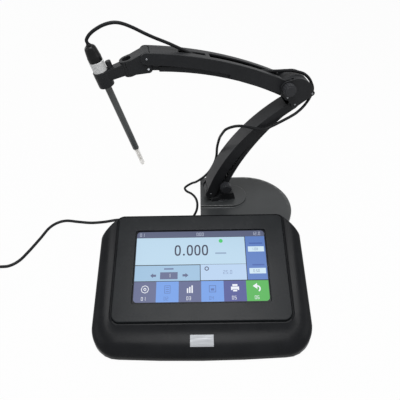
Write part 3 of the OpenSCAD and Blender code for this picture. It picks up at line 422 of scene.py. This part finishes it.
# signs on the six keys: ring, sheet, bars, card, tray and a return arrow
draw(squircle(0.09, 0.815, 4.6, 4.6, 2.0, 8), white, 2, squircle(0.09, 0.815, 3.8, 3.8, 2.0, 8))
draw(oval(0.09, 0.815, 1.7, 1.7), white, 2, oval(0.09, 0.815, 0.9, 0.9))
draw(shape(0.254, 0.82, pane(-3.4, 3.4, -4.6, 4.6)), dusk, 2,
     shape(0.254, 0.82, pane(-2.8, 2.8, -4, 4)))
for k in range(3):
    draw(shape(0.254, 0.82, pane(-1.8, 1.8, -2.6 + 2.3 * k, -1.9 + 2.3 * k)), dusk, 2)
    draw(shape(0.418, 0.82, [(-3.5 + 2.6 * k, 4.4), (-1.9 + 2.6 * k, 4.4), (-1.9 + 2.6 * k, -1 - 1.6 * k),
                             (-3.5 + 2.6 * k, -1 - 1.6 * k)]), white, 2)
draw(shape(0.582, 0.82, pane(-4, 4, -4, 4)), dusk, 2, shape(0.582, 0.82, pane(-3.3, 3.3, -3.3, 3.3)))
draw(shape(0.582, 0.82, pane(-1.9, 1.9, -0.6, 2)), dusk, 2)
draw(shape(0.746, 0.815, pane(-4.6, 4.6, -1.8, 2.2)), white, 2)
draw(shape(0.746, 0.815, pane(-2.9, 2.9, -4.6, -2.4)), white, 2)
slip = shape(0.746, 0.815, pane(-2.3, 2.3, 1.7, 3.8))
draw(shape(0.746, 0.815, pane(-2.9, 2.9, 1.1, 4.4)), "#545b9a", 3, slip)
draw(slip, white, 3)
sweep = np.linspace(-0.5 * np.pi, 0.35 * np.pi, 14)
hook = np.column_stack([np.cos(sweep), np.sin(sweep)])
draw(shape(0.91, 0.815, np.concatenate([3.9 * hook, 2.3 * hook[::-1]]) + [-0.4, 0.9]), white, 2)
draw(shape(0.91, 0.815, [(-5.4, -2.2), (-0.3, 1.4), (-0.3, -5.6)]), white, 2)
for k, ink in enumerate((white, dusk, white, dusk, white, white)):
    numerals("0%d" % (k + 1), 0.065 + KEY_W * k, 0.915, 4.0, ink, 2)

# the display's rounded corners
curve = np.linspace(0, np.pi / 2, 10)
fillet = np.column_stack([1 - np.sin(curve), 1 - np.cos(curve)]) * 5.0
for s, x in ((0.006, 1), (0.994, -1)):
    for t, y in ((0.01, 1), (0.987, -1)):
        draw(shape(s, t, np.concatenate([[(0, 0)], fillet]) * [x, y]), BLANK, 4)

# lit liquid crystal rows behind glass: each colour shines by itself, with the faint shine of the glass
lit, t, p = surface("lit_display_picture")
ink = put(t, "Attribute", attribute_name="ink")
at = put(t, "TexCoord")
ROW_MM = 0.45
rows = put(t, "TexWave", {"Vector": (at, "Object")}, Scale=1000.0 / ROW_MM / 6.283, wave_type="BANDS")
dim = put(t, "MapRange", {"Value": (rows, "Fac")}, in_3=0.97, in_4=1.0)
glow = put(t, "Mix", data_type="RGBA", blend_type="MULTIPLY")
glow.inputs[0].default_value = 1.0
t.links.new(glow.inputs[6], ink.outputs["Color"])
t.links.new(glow.inputs[7], dim.outputs["Result"])
t.links.new(p.inputs["Emission Color"], glow.outputs[2])
p.inputs["Emission Strength"].default_value = 0.95
p.inputs["Base Color"].default_value = linear("#101014")
p.inputs["Roughness"].default_value, p.inputs["Specular IOR Level"].default_value = 0.15, 0.06
screen = piece("screen_picture", np.concatenate(picture["points"]) + METER, picture["faces"], lit, False)
inks = screen.data.attributes.new("ink", "FLOAT_COLOR", "POINT")
inks.data.foreach_set("color", np.array(picture["inks"], np.float32).ravel())
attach(screen, "meter_and_base")

# Badge place: a small bare plate of brushed aluminium, glued on the middle of the nose, where it follows
# the curve of the shoulder and stands a little proud of it.
BADGE_W, BADGE_L, BADGE_Y = 25.0, 11.2, 8.0
BADGE_SUNK, BADGE_PROUD = 0.3, 0.45


def nose_point(x, y):
    """Point of the shoulder's middle front: its height follows a quarter ellipse in y, and its plan the
    bow of the front edge."""
    c = 1 - y / (OPEN_FRONT - LIP)
    z0, z1 = panel_z(0.0) - SHOULDER_H, panel_z(OPEN_FRONT - LIP) - LIP_DROP
    bowed = y + BOW * (x / (HALF_W - FRONT_R)) ** 2
    return np.stack([x, bowed, z0 + (z1 - z0) * np.sqrt(1 - c ** 2)], -1)


gx, gy = np.meshgrid(np.linspace(-BADGE_W / 2, BADGE_W / 2, 12),
                     np.linspace(BADGE_Y, BADGE_Y + BADGE_L, 16))
low = nose_point(gx, gy)
du, dv = np.gradient(low, axis=1), np.gradient(low, axis=0)
out = np.cross(du, dv)
out /= np.linalg.norm(out, axis=-1, keepdims=True)
m, n = gx.shape
both = np.concatenate([(low - BADGE_SUNK * out).reshape(-1, 3), (low + BADGE_PROUD * out).reshape(-1, 3)])
rim = np.concatenate([np.arange(n), np.arange(1, m) * n + n - 1, (m - 1) * n + np.arange(n - 2, -1, -1),
                      np.arange(m - 2, 0, -1) * n])
skirt = np.column_stack([rim, np.roll(rim, -1), np.roll(rim, -1) + m * n, rim + m * n])
faces = np.concatenate([grid_faces(m, n, False, False), grid_faces(m, n, False, False) + m * n, skirt])
# brushed aluminium: pale grey, its highlight drawn out across the fine lines
plate, t, p = surface("brushed_aluminium")
at = put(t, "TexCoord")
drawn = put(t, "Mapping", {"Vector": (at, "Object")}, Scale=(60.0, 2500.0, 2500.0))
streak = put(t, "TexNoise", {"Vector": (drawn, "Vector")}, Scale=1.0, Detail=3.0)
rough = put(t, "MapRange", {"Value": (streak, "Fac")}, in_1=0.3, in_2=0.7, in_3=0.5, in_4=0.7)
t.links.new(p.inputs["Roughness"], rough.outputs["Result"])
p.inputs["Base Color"].default_value, p.inputs["Metallic"].default_value = linear("#85878a"), 1.0
badge = piece("bare_badge_plate", both + METER, faces, plate)
badge.data.set_sharp_from_angle(angle=SHARP)
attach(badge, "meter_and_base")

# Rear panel and sockets: a black ABS plate with nickel plated coaxial sockets, a jack bush, a plated
# data port, a low voltage inlet and a rocker switch, each held by its own nut or clips.
# moulded ABS in full black, from a polished mould: darker and a little glossier than the shell
plain_black = moulding("moulded_black_abs", "#161617", "#1c1c1d", 0.38, 0.4, 0.03, 0.25)
# nickel plating: a warm bright metal, sharper in its reflections than zinc
nickel = bright_metal("nickel_plated_brass", "#bdbab4", 0.2, 0.8)
for name in ("rear_panel", "temperature_jack", "power_socket", "switch_case"):
    rounded(name, "meter_and_base", plain_black, 0.25)
rounded("power_switch", "power_switch", plain_black, 0.3, 3)
for name in ("bnc_socket", "spare_socket", "data_port"):
    rounded(name, "meter_and_base", nickel, 0.2)
# glass fibre laminate under solder resist: an even, half glossy green
laminate = moulding("circuit_board_laminate", "#14502e", "#1a6138", 0.35, 1.2, 0.02)
finish_node("main_board", laminate)

# Stand base: a low black ABS cover, half round at one end, over a cut steel plate that keeps the arm
# from tipping, on a sheet of anti-slip rubber. Screwed together from below.
# moulded ABS with a leathery grain: its flat top spreads the light from above into an even grey sheen
satin_black = moulding("satin_black_abs", "#2f3132", "#353738", 0.32, 0.7, 0.05, 0.35)
rounded("base_cover", "meter_and_base", satin_black, 1.3, 4)
finish_node("base_pad", foot_rubber)
# sawn steel plate: grey, with coarse streaks from the cut
mild_steel = bright_metal("cut_mild_steel", "#86888b", 0.4, 1.5)
finish_node("base_weight", mild_steel)
for name in ("base_screws", "swivel_bolt", "swivel_washer"):
    finish_node(name, zinc)

# Arm: glass filled nylon channels, links and brackets on steel pins, near black with a soft sheen that
# the mould's texture breaks up; edges are rounded where the mould halves meet.
# moulded nylon with glass fibre: near black, with a dull sheen that the fibres at the skin break up
nylon = moulding("glass_filled_nylon", "#1d1e20", "#242527", 0.42, 0.45, 0.06, 0.14)
for name, body in (("swivel_foot", "swivel_foot"), ("lower_arm", "lower_arm"), ("lower_link", "lower_link"),
                   ("elbow_bracket", "elbow_bracket"), ("upper_arm", "upper_arm"),
                   ("upper_link", "upper_link"), ("electrode_holder", "holder")):
    rounded(name, body, nylon, 0.5, 3)
# turned steel: small round ends that catch the light as pale dots
steel_pin = bright_metal("turned_steel", "#7d7f82", 0.25, 0.5)
for name, body in (("foot_pin", "swivel_foot"), ("elbow_rivets", "elbow_bracket"),
                   ("elbow_pin", "elbow_bracket"), ("upper_link_pin", "elbow_bracket"),
                   ("wrist_pin", "upper_arm")):
    rounded(name, body, steel_pin, 0.35, 3)
for name in ("wrist_link_pin", "foot_stud", "elbow_stud", "foot_nut", "elbow_nut"):
    finish_node(name, zinc)

# Clamp knobs: hard black rubber moulded over the steel studs, with a ribbed rim for the fingers. Each
# presses its pivot's cheeks together and so holds the arm where it is put.
# hard rubber: matt, a trace lighter on the worn ribs
knob_rubber = moulding("hard_knob_rubber", "#222326", "#2b2c2f", 0.5, 0.35, 0.05, 0.25)
rounded("foot_knob", "foot_knob", knob_rubber, 0.3)
rounded("elbow_knob", "elbow_knob", knob_rubber, 0.3)

# Electrode: a dark moulded cap and a pale glossy label band over a grey epoxy tube, which ends in a thin
# clear glass bulb with the sensor's glass stem in it; it is pushed through the clip until the band stops
# it.
# varnished film: pale and smooth, with a soft sheen along its side
pale_band = moulding("glossy_label_film", "#c2c3c3", "#cfd0d0", 0.25, 2.0, 0.002)
# cast epoxy: neutral grey, smooth enough for one long soft highlight
epoxy = moulding("grey_epoxy_tube", "#3a3d3d", "#454848", 0.3, 1.0, 0.01)
CLIP, LEAN = np.array([-137.04, -24.16, 223.26]), np.array([-0.2299, -0.0405, 0.9724])


def turned(name, profile, material, sides=56):
    """A piece turned round the electrode's axis: one ring for each pair of height above the clip and
    radius, closed by a flat face at both ends."""
    h, r = np.array(profile).T[:, :, None, None]
    side = np.cross(LEAN, (0.0, 1.0, 0.0))
    side /= np.linalg.norm(side)
    a = np.linspace(0, 2 * np.pi, sides, endpoint=False)[:, None]
    points = CLIP + h * LEAN + r * (side * np.cos(a) + np.cross(LEAN, side) * np.sin(a))
    faces = grid_faces(len(profile), sides, False, True).tolist()
    last = (len(profile) - 1) * sides
    faces += [list(range(sides)), list(range(last, last + sides))]
    made = piece(name, points.reshape(-1, 3), faces, material)
    made.data.set_sharp_from_angle(angle=np.radians(50))
    return made


# moulded polypropylene, ribless and worn smooth by fingers: black with one narrow streak of light
cap_black = moulding("smooth_black_polypropylene", "#0c0c0d", "#121213", 0.3, 0.4, 0.02, 0.16)
cap = turned("electrode_cap_turned", [(14.5, 7.2), (14.75, 7.55), (15.2, 7.7), (20.0, 7.7), (20.5, 7.6),
                                      (20.8, 7.45), (26.0, 6.9), (29.6, 6.25), (30.6, 5.75), (31.6, 4.9),
                                      (32.1, 4.2), (32.3, 3.3)], cap_black)
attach(cap, "holder")
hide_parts("electrode_cap")
rounded("cable_gland", "holder", cap_black, 0.3, 3)
rounded("electrode_collar", "holder", pale_band, 0.4, 3)
rounded("electrode_shaft", "holder", epoxy, 0.3, 2)
# blown glass with a milky membrane, drawn narrower than its tube: a wall this thin hardly bends the
# light, so the white behind shows through it, a little greyed
bulb = clear_glass("thin_borosilicate_glass", "#e6e5e3", 1.03, 0.85, 0.4)
tip = turned("electrode_tip_blown", [(-134.9, 0.5), (-134.5, 1.5), (-133.4, 2.3), (-131.5, 2.8),
                                     (-110.2, 2.9), (-109.4, 3.3), (-105.5, 3.3)], bulb)
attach(tip, "holder")
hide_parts("electrode_tip")
finish_node("sensor_element", bulb)

# Electrode cable: a thin round coaxial lead in soft black PVC. It loops from the electrode into the
# slotted upper arm, passes over the elbow, hangs to the table and runs to its plug behind the meter.
CABLE = np.array([
    (-144.72, -25.52, 255.74), (-145.78, -25.7, 260.21), (-143.02, -25.22, 264.49),
    (-139.87, -24.66, 267.29), (-135.73, -23.93, 269.99), (-128.25, -22.61, 273.49),
    (-120.37, -21.22, 275.49), (-113.28, -19.97, 275.59), (-105.7, -18.64, 273.39),
    (-96.24, -16.97, 268.59), (-86.59, -15.27, 262.69), (-76.74, -13.53, 257.19),
    (-61.58, -10.86, 249.54), (-49.26, -8.69, 242.58), (-35.17, -6.2, 234.65), (-20.79, -3.67, 227.67),
    (-3.61, -0.64, 223.18), (15.05, 2.65, 216.75), (33.54, 5.91, 209.76), (49.19, 8.67, 207),
    (58.37, 10.29, 206.03), (66.23, 11.68, 205.47), (74.37, 13.11, 205.14), (82.31, 14.51, 204.14),
    (90.04, 15.88, 201.94), (97.92, 17.27, 198.74), (104.61, 18.45, 193.14), (109.14, 19.25, 186.94),
    (113.04, 19.93, 178.09), (112.42, 18.3, 170.99), (108.25, 14.01, 164.16), (101.54, 8.77, 157.6),
    (93.46, 3.79, 152.76), (87, 0.92, 149.96), (81.55, -0.85, 147.65), (76.54, -2.14, 145.47),
    (71.92, -3.16, 143.4), (67.56, -4.03, 141.37), (62.82, -4.87, 139.32), (53.84, -6.45, 136.2),
    (43.06, -8.65, 137.8), (34.26, -10, 141), (25.26, -10.78, 143.5), (14.25, -11.7, 144),
    (3.8, -7.05, 136.8), (-1, 0.6, 124.5), (-3.6, 9.4, 112.1), (-6.2, 15.9, 93.5), (-6.8, 17.8, 78.3),
    (-8.74, 20.8, 65), (-13.23, 26.1, 49), (-18.71, 31.23, 35), (-26.64, 35.92, 22),
    (-37.43, 39.5, 10.4), (-43.5, 45, 3.5), (-51, 41, 2), (-55.5, 34.5, 2), (-52.5, 27, 2),
    (-45, 21, 2), (-39, 12, 2), (-36, 0, 2), (-36.5, -14, 2), (-40, -26, 2.4), (-43.5, -37, 7),
    (-45.4, -45, 15), (-46, -52, 22.5), (-46, -58, 26.4), (-46, -63, 27)])


def through(route, steps):
    """A smooth curve through the route: on each stretch a cubic whose slope at a point is half the
    step between that point's neighbours."""
    p = np.concatenate([route[:1], route, route[-1:]])
    a, b, c, d = p[:-3, None], p[1:-2, None], p[2:-1, None], p[3:, None]
    s = (np.arange(steps) / steps)[None, :, None]
    square, cube = 2 * a - 5 * b + 4 * c - d, 3 * b - a - 3 * c + d
    q = 0.5 * (2 * b + (c - a) * s + square * s ** 2 + cube * s ** 3)
    return np.concatenate([q.reshape(-1, 3), route[-1:]])


def tube(name, line, radius, material, guide, sides=14):
    """A round tube: at each point of the line a ring square to its direction, turned to a fixed guide
    direction so that the rings stay in step, with a point at each end to close it."""
    along = np.gradient(line, axis=0)
    along /= np.linalg.norm(along, axis=1, keepdims=True)
    side = np.cross(along, guide)
    side /= np.linalg.norm(side, axis=1, keepdims=True)
    other = np.cross(side, along)
    a = np.linspace(0, 2 * np.pi, sides, endpoint=False)[:, None]
    rings = line[:, None] + radius * (side[:, None] * np.cos(a) + other[:, None] * np.sin(a))
    points = np.concatenate([rings.reshape(-1, 3), line[:1], line[-1:]])
    k, last = len(line) * sides, (len(line) - 1) * sides
    j = np.arange(sides)
    caps = [(k, x, y) for x, y in zip((j + 1) % sides, j)]
    caps += [(k + 1, last + x, last + y) for x, y in zip(j, (j + 1) % sides)]
    return piece(name, points, list(grid_faces(len(line), sides, False, True)) + caps, material)


# soft PVC: near black, with a broad dull sheen along its top
soft_pvc = soft_rubber("soft_black_pvc", "#0f1012", "#17181a", 0.45, 0.7)
STEPS, CABLE_R, POWER_R = 6, 1.8, 2.0
cable_line = through(CABLE, STEPS)
ENDS = [0, 17, 27, 38, 50, 67]
# Each stretch is one tube along its share of the curve, fixed where it lies: the loop outside the upper
# arm, the run under the lower arm beside its link, the hanging part behind the arm, and what lies on the
# table by the meter.
for k, (name, a, b, start, end) in enumerate((
        ("cable_loop", "holder", "upper_arm", CABLE[0], CABLE[11]),
        ("cable_elbow", "upper_arm", "elbow_bracket", CABLE[18], CABLE[24]),
        ("cable_down_arm", "elbow_bracket", "lower_link", CABLE[27], CABLE[31]),
        ("cable_hanging", "lower_link", "swivel_foot", CABLE[47], CABLE[50]),
        ("cable_to_meter", "swivel_foot", "meter_and_base", CABLE[50], CABLE[50] - (22, 0, 0)))):
    line = cable_line[ENDS[k] * STEPS:ENDS[k + 1] * STEPS + 1]
    lead = tube(name + "_lead", line, CABLE_R, soft_pvc, (0.45, -0.8, 0.35))
    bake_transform(lead)
    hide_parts(name)
finish_node("bnc_plug", nickel)

# Power lead: a round two core lead in black PVC from the low voltage plug, lying on the table and wound
# into a tied coil beside its adapter.
POWER = np.array([
    (-91, -63, 24), (-91.4, -55, 23), (-95, -46, 15), (-103, -39, 6), (-117, -35.5, 2.3),
    (-135, -34, 2.1), (-153, -34, 2.1), (-171, -37.5, 2.1), (-190, -39, 2.1), (-210, -36.5, 2.1),
    (-227, -34, 2.1), (-239.5, -38, 2.1), (-249, -48.5, 2.1), (-256, -68, 2.1), (-265, -91, 2.1),
    (-273, -107, 2.1), (-284, -115.5, 2.1), (-299, -117, 2.1), (-316, -122, 2.3), (-332, -128, 2.6),
    (-342, -130, 2.9), (-346, -130, 2.9)])
COIL_X, COIL_Y, COIL_Z, COIL_R, TURNS, PITCH = -346, -100, 2.9, 30, 7.75, 4.8
ADAPTER_INLET = np.array([-316, -134, 7.7])
# the coil winds inwards on the table, climbs by one lead's width halfway and winds outwards on top
turn = np.arange(0, TURNS + 1e-9, 1 / 48)
coil_r = COIL_R - PITCH * np.minimum(turn, TURNS - turn)
coil = np.column_stack([COIL_X + coil_r * np.cos(np.radians(-90 - 360 * turn)),
                        COIL_Y + coil_r * np.sin(np.radians(-90 - 360 * turn)),
                        COIL_Z + PITCH * np.clip((turn - TURNS / 2 + 0.25) / 0.5, 0, 1)])
tail = coil[-1] + (ADAPTER_INLET - coil[-1]) * np.linspace(0, 1, 14)[1:, None]
power_line = np.concatenate([through(POWER, STEPS)[:-1], coil, tail])
power_lead = tube("power_lead", power_line, POWER_R, soft_pvc, (0.05, 0.1, 1.0))
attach(power_lead, "meter_and_base")
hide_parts("power_cord", "power_cord_coil")
finish_node("power_plug", plain_black)
finish_node("cord_tie", soft_pvc)
finish_node("power_adapter", plain_black)

# Floor, light and camera: a white sweep under a wide overhead softbox and two side fills. The camera
# stands in front and looks down at 43 degrees, with the wide lens that the photograph's lines give.
# matt white paper: keeps the object's soft shadow and shows nothing else
sweep_white, t, p = surface("white_paper_sweep")
p.inputs["Base Color"].default_value = linear("#d2d2d2")
p.inputs["Roughness"].default_value = 0.9
ray = put(t, "LightPath")
seen = put(t, "Math", {0: (ray, "Is Camera Ray"), 1: (ray, "Is Glossy Ray")}, operation="MAXIMUM")
lift = put(t, "Math", {0: (seen, "Value")}, operation="MULTIPLY", in_1=0.96)
paper = put(t, "Emission", Color=(1, 1, 1, 1), Strength=1.0)
both_ways = put(t, "MixShader", {0: (lift, "Value"), 1: (p, "BSDF"), 2: (paper, "Emission")})
t.links.new(t.nodes["Material Output"].inputs["Surface"], both_ways.outputs["Shader"])
FLOOR_HALF, FLOOR_N, FLOOR_Z = 4000, 9, -0.05
gx, gy = np.meshgrid(*[np.linspace(-FLOOR_HALF, FLOOR_HALF, FLOOR_N)] * 2)
floor = piece("floor", np.column_stack([gx.ravel(), gy.ravel(), np.full(gx.size, FLOOR_Z)]),
              grid_faces(FLOOR_N, FLOOR_N, False, False), sweep_white)
if floor.data.polygons[0].normal.z < 0:
    floor.data.flip_normals()

world = bpy.data.worlds.new("studio")
world.use_nodes = True
scene.world = world
t = world.node_tree
t.nodes.clear()
ray = put(t, "LightPath")
glossy = put(t, "Math", {0: (ray, "Is Camera Ray"), 1: (ray, "Is Glossy Ray")}, operation="MAXIMUM")
clear = put(t, "Math", {0: (glossy, "Value"), 1: (ray, "Is Transmission Ray")}, operation="MAXIMUM")
strength = put(t, "MapRange", {"Value": (clear, "Value")}, in_3=0.18, in_4=1.0)
sky = put(t, "Background", {"Strength": (strength, "Result")}, Color=(1, 1, 1, 1))
put(t, "OutputWorld", {"Surface": (sky, "Background")})


def softbox(name, at, aim, size, watts):
    """A square area lamp at one place that faces another."""
    lamp = bpy.data.lights.new(name, "AREA")
    lamp.size, lamp.energy = size, watts
    o = bpy.data.objects.new(name, lamp)
    turned_to = (Vector(aim) - Vector(at)).to_track_quat("-Z", "Y").to_matrix().to_4x4()
    o.matrix_world = Matrix.Translation(at) @ turned_to
    scene.collection.objects.link(o)


softbox("overhead", (-0.03, -0.4, 1.4), (0, -0.15, 0), 0.72, 17)
softbox("left_fill", (-1.2, -0.5, 0.8), (0, -0.1, 0.1), 0.8, 3)
softbox("right_fill", (1.2, -0.4, 0.9), (0, -0.1, 0.1), 0.8, 3)
softbox("left_rim", (-1.2, 0.9, 0.35), (0, 0, 0.1), 0.6, 3)

CAMERA_AT = (-0.028, -0.444, 0.419)
pitch, yaw, roll = np.radians([42.81, -0.47, -1.26])
ahead = Vector((np.sin(yaw) * np.cos(pitch), np.cos(yaw) * np.cos(pitch), -np.sin(pitch)))
right = Vector((np.cos(yaw), -np.sin(yaw), 0))
up = right.cross(ahead)
right, up = np.cos(roll) * right + np.sin(roll) * up, np.cos(roll) * up - np.sin(roll) * right
lens = bpy.data.cameras.new("camera")
lens.lens, lens.sensor_width, lens.clip_start = 36.0, 36.0, 0.01
camera = bpy.data.objects.new("camera", lens)
facing = Matrix((right, up, -ahead)).transposed().to_4x4()
camera.matrix_world = Matrix.Translation(CAMERA_AT) @ facing
scene.collection.objects.link(camera)
scene.camera = camera
scene.view_settings.view_transform = "Standard"
